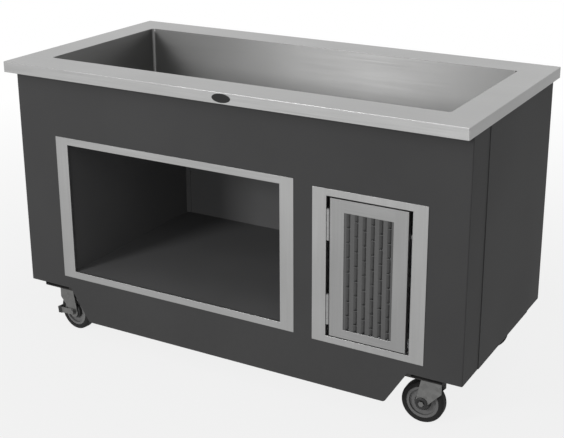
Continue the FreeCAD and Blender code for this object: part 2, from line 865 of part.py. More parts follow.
def thermostat_knob():
    """Knob with a pointer ridge and its shaft."""
    face = V(knob_x, control_front - free_gap, control_level)
    front = face - Y * knob_height
    grip = rod(knob_radius, face, front)
    grip = rounded(grip, knob_height / 5, lambda edge: edge.BoundBox.YMax < front.y + 0.01)
    ridge = block(knob_x - knob_ridge / 2, knob_x + knob_ridge / 2, front.y - knob_ridge / 2, face.y,
                  control_level, control_level + knob_radius - 1)
    shaft = rod(knob_shaft_radius, face - Y, face + Y * knob_shaft_length)
    return union([grip, ridge, shaft])


def power_switch():
    """Rocker on a cross pin, tipped to off."""
    centre = V(rocker_x, control_front + rocker_depth, control_level)
    half = X * (rocker_width / 2)
    drum = rod(rocker_radius, centre - half, centre + half)
    flat = block(rocker_x - rocker_width, rocker_x + rocker_width, control_front - rocker_proud,
                 centre.y + rocker_radius, control_level - rocker_radius, control_level + rocker_radius)
    rocker = drum.common(flat)
    rocker.rotate(centre, X, rocker_tilt)
    return rocker


def gland_ends():
    """Inner and outer ends of the cord gland."""
    at = V(inside_end - gland_inset, 0, machine_floor_top + gland_rise)
    return at + Y * (inside_side - gland_in), at + Y * (body_side + gland_out)


def cord_gland():
    """Gland through the back panel with a nut on each side."""
    start, end = gland_ends()
    inner_nut = hexagon(gland_across, start, start + Y * gland_in)
    outer_nut = hexagon(gland_across, end - Y * gland_out, end)
    return union([inner_nut, outer_nut, rod(gland_radius, start, end)]).cut(rod(gland_bore, start, end))


def caster_plate():
    """Top plate with its race and the kingpin, riveted over below the fork."""
    half_length = caster_plate_length / 2
    half_width = caster_plate_width / 2
    under = caster_height - caster_plate_gauge
    sheet = block(-half_length, half_length, -half_width, half_width, under, caster_height)
    holes = []
    for x in (-half_length + caster_hole_inset, half_length - caster_hole_inset):
        for y in (-half_width + caster_hole_inset, half_width - caster_hole_inset):
            holes.append(rod(caster_hole_radius, V(x, y, under), V(x, y, caster_height)))
    race = rod(race_radius, Z * (under - race_height), Z * under)
    foot = fork_top - fork_top_gauge - free_gap
    pin = rod(kingpin_radius, Z * foot, Z * under)
    head = rod(kingpin_head_radius, Z * (foot - kingpin_head_height), Z * foot)
    return union([sheet.cut(holes), race, pin, head])


def fork():
    """Pressed fork: top plate on the kingpin and two legs to the axle."""
    outer = fork_inner_width / 2 + fork_gauge
    top = block(-fork_rear, fork_front, -outer, outer, fork_top - fork_top_gauge, fork_top)
    shapes = [top]
    for y in (-outer, outer - fork_gauge):
        hub = V(-trail, y, wheel_radius)
        outline = [V(-fork_rear, y, fork_top), V(fork_front, y, fork_top),
                   V(fork_front, y, fork_top - fork_shoulder),
                   hub + X * fork_end_radius, hub - X * fork_end_radius]
        shapes.append(plate(outline, Y * fork_gauge))
        shapes.append(rod(fork_end_radius, hub, hub + Y * fork_gauge))
    bore = rod(kingpin_radius + running_fit, V(0, 0, fork_top - fork_top_gauge), V(0, 0, fork_top))
    axle_hole = rod(axle_radius, V(-trail, -outer, wheel_radius), V(-trail, outer, wheel_radius))
    return union(shapes).cut([bore, axle_hole])


def tyre():
    """Rubber tread ring."""
    near = V(-trail, -tyre_width / 2, wheel_radius)
    far = V(-trail, tyre_width / 2, wheel_radius)
    ring = rounded(rod(wheel_radius, near, far), tyre_round, lambda edge: len(edge.Vertexes) == 1)
    return ring.cut(rod(wheel_radius - tyre_depth, near, far))


def wheel_core():
    """Core with a rim, a web and a hub running on the axle."""
    centre = V(-trail, 0, wheel_radius)
    rim_radius = wheel_radius - tyre_depth
    hub_half = fork_inner_width / 2 - hub_side_gap
    rim_half = Y * (core_width / 2)
    web_half = Y * (web_width / 2)
    rim = pipe(rim_radius, rim_radius - rim_depth, centre - rim_half, centre + rim_half)
    web = rod(rim_radius - rim_depth / 2, centre - web_half, centre + web_half)
    hub = rod(hub_radius, centre - Y * hub_half, centre + Y * hub_half)
    bore = rod(axle_radius + running_fit, centre - Y * hub_half, centre + Y * hub_half)
    return union([rim, web, hub]).cut(bore)


def axle(braked):
    """Axle bolt with its head and nut; a washer fills the place of a brake lever."""
    outer = fork_inner_width / 2 + fork_gauge
    room = brake_gauge + 2 * free_gap
    centre = V(-trail, 0, wheel_radius)
    near = centre - Y * outer
    far = centre + Y * (outer + room)
    shapes = [hexagon(axle_head_across, near - Y * axle_head_height, near), rod(axle_radius, near, far),
              hexagon(axle_head_across, far, far + Y * axle_head_height)]
    if not braked:
        shapes.append(rod(axle_head_across / 2, centre + Y * outer, far))
    return union(shapes)


def brake():
    """Brake lever on the axle, with a foot pad ahead of the tread."""
    near = fork_inner_width / 2 + fork_gauge + free_gap
    far = near + brake_gauge
    centre = V(-trail, 0, wheel_radius)
    tip = -trail + brake_reach
    low = wheel_radius - brake_width / 2
    high = wheel_radius + brake_width / 2
    arm = block(-trail, tip, near, far, low, high)
    eye = rod(brake_width / 2, centre + Y * near, centre + Y * far)
    pad = block(tip - brake_pad_gauge, tip, far - brake_pad_width, far, low, high)
    bore = rod(axle_radius + running_fit, centre + Y * near, centre + Y * far)
    lever = union([arm, eye, pad]).cut(bore)
    lever.rotate(centre, Y, brake_rest_angle)
    return lever


def at_caster(shape, end, side, turn):
    """Piece of a caster turned about its kingpin and moved under the base."""
    shape.rotate(V(0, 0, 0), Z, turn)
    shape.translate(V(end * beam_middle, side * (body_side - caster_inset_side), 0))
    return shape


nodes = {
    "counter_top": counter_top(),
    "badge_plate": badge_plate(),
    "cold_pan": cold_pan(),
    "pan_insulation": pan_insulation(),
    "pan_casing": pan_casing(),
    "cooling_coil": cooling_coil(),
    "front_panel": front_panel(),
    "back_panel": back_panel(),
    "left_end_panel": end_panel(-1),
    "right_end_panel": end_panel(1),
    "left_caster_beam": caster_beam(-1),
    "right_caster_beam": caster_beam(1),
    "front_sill": sill(-1),
    "rear_sill": sill(1),
    "storage_floor": storage_floor(),
    "storage_left_wall": storage_left_wall(),
    "storage_back_wall": storage_back_wall(),
    "divider_wall": divider_wall(),
    "machine_floor": machine_floor(),
    "storage_trim": trim(storage_mouth, storage_stile, storage_rail, storage_sleeve),
    "machine_trim": trim(machine_mouth, machine_stile, machine_rail, machine_sleeve),
    "door_frame": door_frame(),
    "louver_grille": louver_grille(),
    "hinge_frame_leaves": Part.makeCompound([hinge_leaf(base, -1, 0) for base in hinge_bases]),
    "hinge_door_leaves": Part.makeCompound([hinge_leaf(base, 1, 1) for base in hinge_bases]),
    "hinge_pins": Part.makeCompound([hinge_pin(base) for base in hinge_bases]),
    "door_catch": door_catch(),
    "drain_fitting": drain_fitting(),
    "drain_valve": drain_valve(),
    "drain_lever": drain_lever(),
    "drain_pipe": drain_pipe(),
    "condenser": condenser(),
    "fan_shroud": fan_shroud(),
    "fan_blade": fan_blade(),
    "fan_motor": fan_motor(),
    "compressor": compressor(),
    "refrigerant_lines": refrigerant_lines(),
    "control_box": control_box(),
    "thermostat_knob": thermostat_knob(),
    "power_switch": power_switch(),
    "cord_gland": cord_gland(),
    "caster_plates": Part.makeCompound([at_caster(caster_plate(), end, side, 0)
                                        for end, side, turn, braked in casters.values()]),
}
for name, (end, side, turn, braked) in casters.items():
    nodes[name + "_fork"] = at_caster(fork(), end, side, turn)
    nodes[name + "_tyre"] = at_caster(tyre(), end, side, turn)
    nodes[name + "_core"] = at_caster(wheel_core(), end, side, turn)
    nodes[name + "_axle"] = at_caster(axle(braked), end, side, turn)
    if braked:
        nodes[name + "_brake"] = at_caster(brake(), end, side, turn)

for name, shape in nodes.items():
    shape.exportStep("parts/" + name + ".step")
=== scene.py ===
import json
import math
from collections import namedtuple

import bmesh
import bpy
from bpy.props import FloatProperty, FloatVectorProperty, IntProperty, PointerProperty
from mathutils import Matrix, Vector


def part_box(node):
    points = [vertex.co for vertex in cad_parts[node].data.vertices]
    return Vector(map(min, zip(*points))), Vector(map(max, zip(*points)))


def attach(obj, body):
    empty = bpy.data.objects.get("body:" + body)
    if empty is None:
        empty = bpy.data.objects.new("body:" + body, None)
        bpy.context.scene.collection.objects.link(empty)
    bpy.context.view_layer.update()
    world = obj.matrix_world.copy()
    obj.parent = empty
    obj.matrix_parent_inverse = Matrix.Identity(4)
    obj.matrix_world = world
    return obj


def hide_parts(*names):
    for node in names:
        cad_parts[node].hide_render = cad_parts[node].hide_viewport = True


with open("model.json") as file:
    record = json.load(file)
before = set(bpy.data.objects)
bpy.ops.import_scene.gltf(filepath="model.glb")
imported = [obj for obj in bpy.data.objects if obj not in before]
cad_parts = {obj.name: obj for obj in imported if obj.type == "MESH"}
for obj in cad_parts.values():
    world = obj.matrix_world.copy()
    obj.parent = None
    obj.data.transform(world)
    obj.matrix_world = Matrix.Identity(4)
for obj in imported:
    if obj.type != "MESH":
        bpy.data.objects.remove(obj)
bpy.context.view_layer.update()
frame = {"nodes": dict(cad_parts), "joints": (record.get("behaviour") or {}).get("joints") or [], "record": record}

bl_info = {
    "name": "Cold Serving Counter",
    "version": (1, 0, 0),
    "blender": (4, 5, 0),
    "location": "3D View > Sidebar > Counter",
    "description": "Finishes, fittings and studio for a mobile counter with a cold well",
    "category": "Object",
}

GRILLE_LOW, GRILLE_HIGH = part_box("louver_grille")
CASTERS = ("front_left", "front_right", "rear_left", "rear_right")
BRAKED = ("front_left", "rear_left")

# Stainless frames with folded edges: node, body, slot
STAINLESS_FRAMES = (
    ("storage_trim", "cabinet", "trim_steel"),
    ("machine_trim", "cabinet", "trim_steel"),
    ("door_frame", "louver_door", "door_steel"),
)

# Width of the upright sides of the storage bay's trim
STORAGE_STILE = 0.045

# Finishes by their slots, made by the first step
FINISHES = {}

ORIGIN = (0.0, 0.0, 0.0)
WHITE = (1.0, 1.0, 1.0, 1.0)
BLACK = (0.0, 0.0, 0.0, 1.0)

# Gaps under which points are merged, on a carried-over piece and along the louver sheet's seams
MERGE_GAP = 0.00001
SEAM_GAP = 0.00002

# Angles between faces that count as flat and as a fold
FLAT_ANGLE = math.radians(1.0)
FOLD_ANGLE = math.radians(30.0)

# Share of a normal along an axis past which a face looks that way
END_FACING = 0.7
DOWN_FACING = 0.9

# Turned cups: shares of the radius and the height outside, of the bore and the height inside
GUARD_OUTSIDE = ((1.0, 0.0), (1.0, 0.5), (0.95, 0.8), (0.82, 1.0))
GUARD_INSIDE = ((1.0, 0.0), (1.0, 1.0))
CAP_OUTSIDE = ((1.0, 0.0), (1.0, 0.3), (0.93, 0.75), (0.82, 1.0))
CAP_INSIDE = ((1.0, 0.0), (1.15, 0.8), (1.0, 0.6))

# Caster bolts: shares of the head's height, and the washer's share of the head's radius
HEAD_CHAMFER = 0.18
WASHER_HEIGHT = 0.3
WASHER_ROUND = 0.06
WASHER_RADIUS = 1.2

# Marks round the knob: the arc that they fill, and shares of a mark's length
DIAL_SWEEP = math.radians(270.0)
TICK_WIDTH = 0.25
TICK_RISE = 0.12
TICK_ROUND = 0.05

# How a finish varies: shades of its colour, roughness either way, strength and depth of its relief
Variation = namedtuple("Variation", "dark light smoother rougher relief depth")
BRUSHED = Variation(0.92, 1.08, 0.05, 0.07, 0.08, 0.0003)
PAINTED = Variation(0.93, 1.07, 0.04, 0.06, 0.10, 0.0004)
COATED = Variation(0.80, 1.15, 0.06, 0.08, 0.06, 0.0004)
HANDLED = Variation(0.85, 1.10, 0.06, 0.10, 0.10, 0.0003)
MOULDED = Variation(0.88, 1.14, 0.05, 0.08, 0.25, 0.0003)

PAINT_SPECULAR = 0.05
MOULDED_SPECULAR = 0.25
FLOOR_SPECULAR = 0.2

# Part of a noise's range that holds most of its values
NOISE_LOW, NOISE_HIGH = 0.3, 0.7

# Half width past the end of every sheet, for a finish without stiles
NO_STILES = 10.0

# Direction that the pan's shine is drawn along: up its walls and across its floor
DRAWN_ALONG = {"X": 0.0, "Y": 0.3, "Z": 1.0}

# Dust near the floor: the height that it reaches and its colour
PAINT_DUST = (0.30, (0.22, 0.21, 0.19, 1.0))
WHEEL_DUST = (0.16, (0.20, 0.19, 0.175, 1.0))

# Sockets of a colour Mix node, whose names repeat
MIX_FACTOR, MIX_FIRST, MIX_SECOND, MIX_RESULT = 0, 6, 7, 2

# Lamps by the setting that holds their power: size, place, aim
LAMPS = {
    "key": ((0.9, 0.9), (-1.86, -4.17, 2.1), (0.0, 0.0, 0.7)),
    "overhead": ((3.0, 2.4), (-0.4, -0.6, 4.4), (0.0, 0.0, 0.6)),
    "front": ((2.4, 1.6), (0.6, -3.2, 2.9), (0.0, 0.0, 0.45)),
    "low": ((2.0, 0.8), (0.9, -4.4, 0.6), (-0.2, 0.0, 0.45)),
    "rear": ((1.2, 0.8), (0.0, 4.4, 0.6), (0.0, 0.0, 0.5)),
    "side": ((1.4, 0.5), (4.6, 0.3, 0.55), (0.0, 0.0, 0.5)),
}

# Grey flag beside the right end
FLAG_SIZE = (5.0, 0.86)
FLAG_PLACE = (1.7, 1.0, 0.45)

# Studio floor, and its share of plain white at a near and a far distance
FLOOR_RADIUS = 30.0
FLOOR_MIDDLE = 4.0
FLOOR_GREY = (0.3, 0.3, 0.3, 1.0)
FLOOR_ROUGH = 0.9
FLOOR_WHITE = {"From Min": 1.0, "From Max": 3.5, "To Min": 0.84, "To Max": 1.0}

SENSOR_WIDTH = 36.0


class CounterFinishes(bpy.types.PropertyGroup):
    """Colours of the counter's finishes."""

    top: FloatVectorProperty(
        name="Top", description="Satin stainless of the top",
        subtype="COLOR", default=(0.36, 0.36, 0.358))
    # Same stainless as the top, made darker: painted shade that stands in for the shade in the well
    pan: FloatVectorProperty(
        name="Pan", description="Satin stainless of the cold pan",
        subtype="COLOR", default=(0.27, 0.27, 0.268))
    trim: FloatVectorProperty(
        name="Trim", description="Stainless round the openings",
        subtype="COLOR", default=(0.35, 0.35, 0.348))
    door: FloatVectorProperty(
        name="Door", description="Stainless of the louvered door",
        subtype="COLOR", default=(0.285, 0.285, 0.284))
    louver: FloatVectorProperty(
        name="Louvers", description="Dull steel of the louvers",
        subtype="COLOR", default=(0.098, 0.098, 0.098))
    body: FloatVectorProperty(
        name="Body", description="Charcoal paint outside",
        subtype="COLOR", default=(0.053, 0.053, 0.0534))
    # Same charcoal paint as the body, made lighter: painted light that stands in for the light inside the bays
    bay: FloatVectorProperty(
        name="Bay", description="Charcoal paint inside the bays",
        subtype="COLOR", default=(0.10, 0.10, 0.101))
    core: FloatVectorProperty(
        name="Wheel core", description="Grey moulding of the wheels",
        subtype="COLOR", default=(0.13, 0.13, 0.13))


class CounterFittings(bpy.types.PropertyGroup):
    """Sizes of the fittings that dress the counter."""

    louver_columns: IntProperty(
        name="Louver columns", description="Columns of slots across the door window", default=6, min=2)
    louver_rows: IntProperty(
        name="Louver rows", description="Slots in a full column", default=8, min=1)
    louver_lap: FloatProperty(
        name="Louver lap", description="Edge of the louver sheet behind the door skin",
        default=0.008, unit="LENGTH")
    louver_gauge: FloatProperty(
        name="Louver gauge", description="Thickness of the louver sheet", default=0.001, unit="LENGTH")
    slot_width: FloatProperty(
        name="Slot width", description="Width of one louver slot", default=0.012, unit="LENGTH")
    slot_bridge: FloatProperty(
        name="Slot bridge", description="Metal left between two slots of a column",
        default=0.002, unit="LENGTH")
    fin_turn: FloatProperty(
        name="Fin turn", description="Angle that the fin in each slot is turned in",
        default=math.radians(38), subtype="ANGLE")
    bolt_radius: FloatProperty(
        name="Bolt head", description="Radius over the corners of a caster bolt's head",
        default=0.0075, unit="LENGTH")
    bolt_height: FloatProperty(
        name="Bolt height", description="Height of a caster bolt's head", default=0.0053, unit="LENGTH")
    bolt_spacing: FloatVectorProperty(
        name="Bolt spacing", description="Spacing of a caster plate's bolts along and across the counter",
        default=(0.073, 0.044), size=2, unit="LENGTH")
    plate_gauge: FloatProperty(
        name="Plate gauge", description="Thickness of a caster plate", default=0.004, unit="LENGTH")
    guard_radius: FloatProperty(
        name="Guard radius", description="Radius of a thread guard beside a wheel's hub",
        default=0.024, unit="LENGTH")
    guard_bore: FloatProperty(
        name="Guard bore", description="Radius of the hub that carries a thread guard",
        default=0.0151, unit="LENGTH")
    guard_start: FloatProperty(
        name="Guard start", description="Distance of a thread guard's back from the wheel's middle",
        default=0.0065, unit="LENGTH")
    guard_height: FloatProperty(
        name="Guard height", description="Height of a thread guard along the axle",
        default=0.0115, unit="LENGTH")
    cap_radius: FloatProperty(
        name="Cap radius", description="Radius of the cap round an axle's head",
        default=0.0185, unit="LENGTH")
    cap_bore: FloatProperty(
        name="Cap bore", description="Radius left clear for an axle's head", default=0.0089, unit="LENGTH")
    cap_height: FloatProperty(
        name="Cap height", description="Height of the cap round an axle's head",
        default=0.0034, unit="LENGTH")
    grip_start: FloatProperty(
        name="Grip start", description="Distance of a brake grip's mouth from the axle",
        default=0.056, unit="LENGTH")
    grip_gauge: FloatProperty(
        name="Grip gauge", description="Thickness of the grip on a brake lever's tip",
        default=0.0012, unit="LENGTH")
    fork_half: FloatProperty(
        name="Fork half width", description="Distance of a fork's outer face from the wheel's middle",
        default=0.0225, unit="LENGTH")
    edge_round: FloatProperty(
        name="Edge round", description="Rounding of the folded edges of the stainless frames",
        default=0.0007, unit="LENGTH")
    tick_count: IntProperty(
        name="Dial ticks", description="Marks round the thermostat knob", default=10, min=2)
    tick_length: FloatProperty(
        name="Tick length", description="Length of a mark round the knob", default=0.0045, unit="LENGTH")


class CounterStage(bpy.types.PropertyGroup):
    """Camera and light of the studio."""

    yaw: FloatProperty(
        name="Yaw", description="Camera's turn from the server's side",
        default=math.radians(29.016), subtype="ANGLE")
    pitch: FloatProperty(
        name="Pitch", description="Camera's height above the horizon",
        default=math.radians(18.176), subtype="ANGLE")
    distance: FloatProperty(
        name="Distance", description="Camera's distance from its aim", default=3.549, unit="LENGTH")
    aim: FloatVectorProperty(
        name="Aim", description="Point that the camera's axis passes through",
        default=(0.0688, 0.0, 0.5883), subtype="XYZ", unit="LENGTH")
    lens: FloatProperty(name="Lens", description="Focal length in millimetres", default=72.86)
    shift: FloatVectorProperty(
        name="Shift", description="Shift of the frame", default=(-0.0301, -0.0887), size=2)
    key: FloatProperty(
        name="Key", description="Power of the light at the left", default=105.0, unit="POWER")
    overhead: FloatProperty(
        name="Overhead", description="Power of the light above", default=15.0, unit="POWER")
    front: FloatProperty(
        name="Front", description="Power of the light on the front", default=18.0, unit="POWER")
    low: FloatProperty(
        name="Low", description="Power of the light into the open bay", default=26.0, unit="POWER")
    rear: FloatProperty(
        name="Rear", description="Power of the light on the back", default=40.0, unit="POWER")
    side: FloatProperty(
        name="Side", description="Power of the light on the right end", default=28.0, unit="POWER")
    fill: FloatProperty(name="Fill", description="Strength of the light from all round", default=0.45)
    flag: FloatProperty(name="Flag", description="Brightness that the right end reflects", default=0.5)


def new_node(tree, kind, inputs=None, **settings):
    """Shader node with its settings, its plain values and its links."""
    node = tree.nodes.new(kind)
    for name, value in settings.items():
        setattr(node, name, value)
    for name, value in (inputs or {}).items():
        if isinstance(value, bpy.types.NodeSocket):
            tree.links.new(value, node.inputs[name])
        else:
            node.inputs[name].default_value = value
    return node


def calculate(tree, operation, *values):
    """Output of a math node."""
    return new_node(tree, "ShaderNodeMath", dict(enumerate(values)), operation=operation).outputs[0]


def spread(tree, value, low, high):
    """Value from the middle of a noise, mapped to a range."""
    inputs = {"Value": value, "From Min": NOISE_LOW, "From Max": NOISE_HIGH, "To Min": low, "To Max": high}
    return new_node(tree, "ShaderNodeMapRange", inputs).outputs["Result"]


def noise(tree, vector, scale, detail=2.0):
    """Value of a noise texture."""
    inputs = {"Vector": vector, "Scale": scale, "Detail": detail}
    return new_node(tree, "ShaderNodeTexNoise", inputs).outputs["Fac"]


def blend_values(tree, factor, first, second):
    """Value that goes from the first to the second."""
    inputs = {"Factor": factor, "A": first, "B": second}
    return new_node(tree, "ShaderNodeMix", inputs, data_type="FLOAT").outputs["Result"]


def blend_colours(tree, factor, first, second):
    """Colour that goes from the first to the second."""
    inputs = {MIX_FACTOR: factor, MIX_FIRST: first, MIX_SECOND: second}
    return new_node(tree, "ShaderNodeMix", inputs, data_type="RGBA").outputs[MIX_RESULT]


def shade(colour, factor):
    """Colour made darker or lighter, as a socket value."""
    return [channel * factor for channel in colour[:3]] + [1.0]


def tint(tree, factor, colour, variation):
    """Colour that varies between two shades of itself."""
    return blend_colours(tree, factor, shade(colour, variation.dark), shade(colour, variation.light))


def new_group(name, inputs, outputs):
    """Shader node group with value sockets, and its two end nodes."""
    tree = bpy.data.node_groups.new(name, "ShaderNodeTree")
    for label, default in inputs.items():
        socket = tree.interface.new_socket(label, in_out="INPUT", socket_type="NodeSocketFloat")
        socket.default_value = default
    for label in outputs:
        tree.interface.new_socket(label, in_out="OUTPUT", socket_type="NodeSocketFloat")
    start = tree.nodes.new("NodeGroupInput")
    end = tree.nodes.new("NodeGroupOutput")
    return tree, start, end


def object_place(tree):
    """Place on the piece, for a pattern."""
    return new_node(tree, "ShaderNodeTexCoord").outputs["Object"]


def brushed_grain():
    """Fine lines along X, along Y on the faces at the ends, and upright on stiles, with broad clouds."""
    inputs = {"Long": 5.0, "Cross": 800.0, "Middle": 0.0, "Half": NO_STILES}
    tree, start, end = new_group("Brushed Grain", inputs, ("Streak", "Blotch"))
    long, cross = start.outputs["Long"], start.outputs["Cross"]
    place = new_node(tree, "ShaderNodeTexCoord")
    runs = {}
    for axis in "XYZ":
        stretch = {name: long if name == axis else cross for name in "XYZ"}
        scale = new_node(tree, "ShaderNodeCombineXYZ", stretch)
        factors = {0: place.outputs["Object"], 1: scale.outputs["Vector"]}
        stretched = new_node(tree, "ShaderNodeVectorMath", factors, operation="MULTIPLY")
        runs[axis] = noise(tree, stretched.outputs["Vector"], scale=1.0, detail=3.0)
    normal = new_node(tree, "ShaderNodeSeparateXYZ", {0: place.outputs["Normal"]})
    at_end = calculate(tree, "GREATER_THAN", calculate(tree, "ABSOLUTE", normal.outputs["X"]), END_FACING)
    position = new_node(tree, "ShaderNodeSeparateXYZ", {0: place.outputs["Object"]})
    aside = calculate(tree, "SUBTRACT", position.outputs["X"], start.outputs["Middle"])
    on_stile = calculate(tree, "GREATER_THAN", calculate(tree, "ABSOLUTE", aside), start.outputs["Half"])
    level = blend_values(tree, at_end, runs["X"], runs["Y"])
    tree.links.new(blend_values(tree, on_stile, level, runs["Z"]), end.inputs["Streak"])
    tree.links.new(noise(tree, place.outputs["Object"], scale=4.0), end.inputs["Blotch"])
    return tree


def fine_texture():
    """Small even bumps with broad, faint clouds."""
    tree, start, end = new_group("Fine Texture", {"Scale": 400.0, "Cloud": 3.0}, ("Grain", "Cloud"))
    place = object_place(tree)
    tree.links.new(noise(tree, place, start.outputs["Scale"]), end.inputs["Grain"])
    tree.links.new(noise(tree, place, start.outputs["Cloud"], detail=4.0), end.inputs["Cloud"])
    return tree


def spangle():
    """Crystal patches of a zinc coat."""
    tree, start, end = new_group("Spangle", {"Scale": 90.0}, ("Patch", "Cloud"))
    place = object_place(tree)
    cells = new_node(tree, "ShaderNodeTexVoronoi", {"Vector": place, "Scale": start.outputs["Scale"]})
    patch = new_node(tree, "ShaderNodeSeparateColor", {0: cells.outputs["Color"]}).outputs["Red"]
    tree.links.new(patch, end.inputs["Patch"])
    tree.links.new(noise(tree, place, scale=12.0, detail=3.0), end.inputs["Cloud"])
    return tree


def floor_dust():
    """Mask of dust that thins out above the floor."""
    tree, start, end = new_group("Floor Dust", {"Height": 0.15, "Amount": 0.3}, ("Dust",))
    place = object_place(tree)
    level = new_node(tree, "ShaderNodeSeparateXYZ", {0: place}).outputs["Z"]
    fade = {"Value": level, "From Max": start.outputs["Height"], "To Min": 1.0, "To Max": 0.0}
    low = new_node(tree, "ShaderNodeMapRange", fade).outputs["Result"]
    patches = spread(tree, noise(tree, place, scale=60.0, detail=4.0), 0.2, 1.0)
    patchy = calculate(tree, "MULTIPLY", low, patches)
    dust = calculate(tree, "MULTIPLY", patchy, start.outputs["Amount"])
    tree.links.new(dust, end.inputs["Dust"])
    return tree


def new_material(name, metallic, specular=0.5):
    """Empty material with its main shader."""
    material = bpy.data.materials.new(name)
    material.use_nodes = True
    tree = material.node_tree
    tree.nodes.clear()
    output = new_node(tree, "ShaderNodeOutputMaterial")
    inputs = {"Metallic": metallic, "Specular IOR Level": specular}
    surface = new_node(tree, "ShaderNodeBsdfPrincipled", inputs)
    tree.links.new(surface.outputs["BSDF"], output.inputs["Surface"])
    return material, tree, surface


def place_group(tree, group, **values):
    """Group node in a material with its own values."""
    return new_node(tree, "ShaderNodeGroup", values, node_tree=group)


def dust_over(tree, groups, cover, dust, amount):
    """Colour with dust over it near the floor."""
    height, colour = dust
    layer = place_group(tree, groups["dust"], Height=height, Amount=amount)
    return blend_colours(tree, layer.outputs["Dust"], cover, colour)


def finish_surface(tree, surface, cover, gloss, rough, relief, variation):
    """Gives a shader its colour, its roughness and a small relief."""
    tree.links.new(cover, surface.inputs["Base Color"])
    roughness = spread(tree, gloss, rough - variation.smoother, rough + variation.rougher)
    tree.links.new(roughness, surface.inputs["Roughness"])
    inputs = {"Height": relief, "Strength": variation.relief, "Distance": variation.depth}
    bump = new_node(tree, "ShaderNodeBump", inputs)
    tree.links.new(bump.outputs["Normal"], surface.inputs["Normal"])


def brushed_metal(name, colour, groups, rough, middle=0.0, half=NO_STILES, drawn=0.0):
    """Satin sheet with brushed lines and faint clouds, its shine drawn out where asked for."""
    material, tree, surface = new_material(name, 1.0)
    if drawn:
        surface.inputs["Anisotropic"].default_value = drawn
        along = new_node(tree, "ShaderNodeCombineXYZ", DRAWN_ALONG)
        tree.links.new(along.outputs["Vector"], surface.inputs["Tangent"])
    grain = place_group(tree, groups["grain"], Middle=middle, Half=half)
    streak = grain.outputs["Streak"]
    clouded = blend_values(tree, 0.5, streak, grain.outputs["Blotch"])
    cover = tint(tree, spread(tree, clouded, 0.0, 1.0), colour, BRUSHED)
    finish_surface(tree, surface, cover, streak, rough, streak, BRUSHED)
    return material


def painted(name, colour, groups, rough, dusty=0.0, relief=PAINTED.relief):
    """Sprayed paint with a faint orange peel, and dust near the floor where asked for."""
    material, tree, surface = new_material(name, 0.0, PAINT_SPECULAR)
    peel = place_group(tree, groups["fine"], Scale=420.0, Cloud=2.4)
    cloud, grain = peel.outputs["Cloud"], peel.outputs["Grain"]
    cover = tint(tree, spread(tree, cloud, 0.0, 1.0), colour, PAINTED)
    if dusty:
        cover = dust_over(tree, groups, cover, PAINT_DUST, dusty)
    finish_surface(tree, surface, cover, cloud, rough, grain, PAINTED._replace(relief=relief))
    return material


def coated_sheet(name, colour, groups, rough):
    """Galvanised or plated metal with crystal patches."""
    material, tree, surface = new_material(name, 1.0)
    coat = place_group(tree, groups["spangle"])
    cloud = coat.outputs["Cloud"]
    clouded = blend_values(tree, 0.4, coat.outputs["Patch"], cloud)
    cover = tint(tree, clouded, colour, COATED)
    finish_surface(tree, surface, cover, clouded, rough, cloud, COATED)
    return material


def plain_metal(name, colour, groups, rough):
    """Cast or drawn metal with a fine skin, handled and a little uneven."""
    material, tree, surface = new_material(name, 1.0)
    skin = place_group(tree, groups["fine"], Scale=300.0, Cloud=22.0)
    cloud, grain = skin.outputs["Cloud"], skin.outputs["Grain"]
    cover = tint(tree, spread(tree, cloud, 0.0, 1.0), colour, HANDLED)
    finish_surface(tree, surface, cover, cloud, rough, grain, HANDLED)
    return material


def moulded(name, colour, groups, rough, scale=600.0, relief=MOULDED.relief, dusty=0.0):
    """Moulded plastic, rubber or foam with a fine grain, and dust near the floor where asked for."""
    material, tree, surface = new_material(name, 0.0, MOULDED_SPECULAR)
    skin = place_group(tree, groups["fine"], Scale=scale, Cloud=14.0)
    cloud, grain = skin.outputs["Cloud"], skin.outputs["Grain"]
    cover = tint(tree, spread(tree, cloud, 0.0, 1.0), colour, MOULDED)
    if dusty:
        cover = dust_over(tree, groups, cover, WHEEL_DUST, dusty)
    finish_surface(tree, surface, cover, grain, rough, grain, MOULDED._replace(relief=relief))
    return material


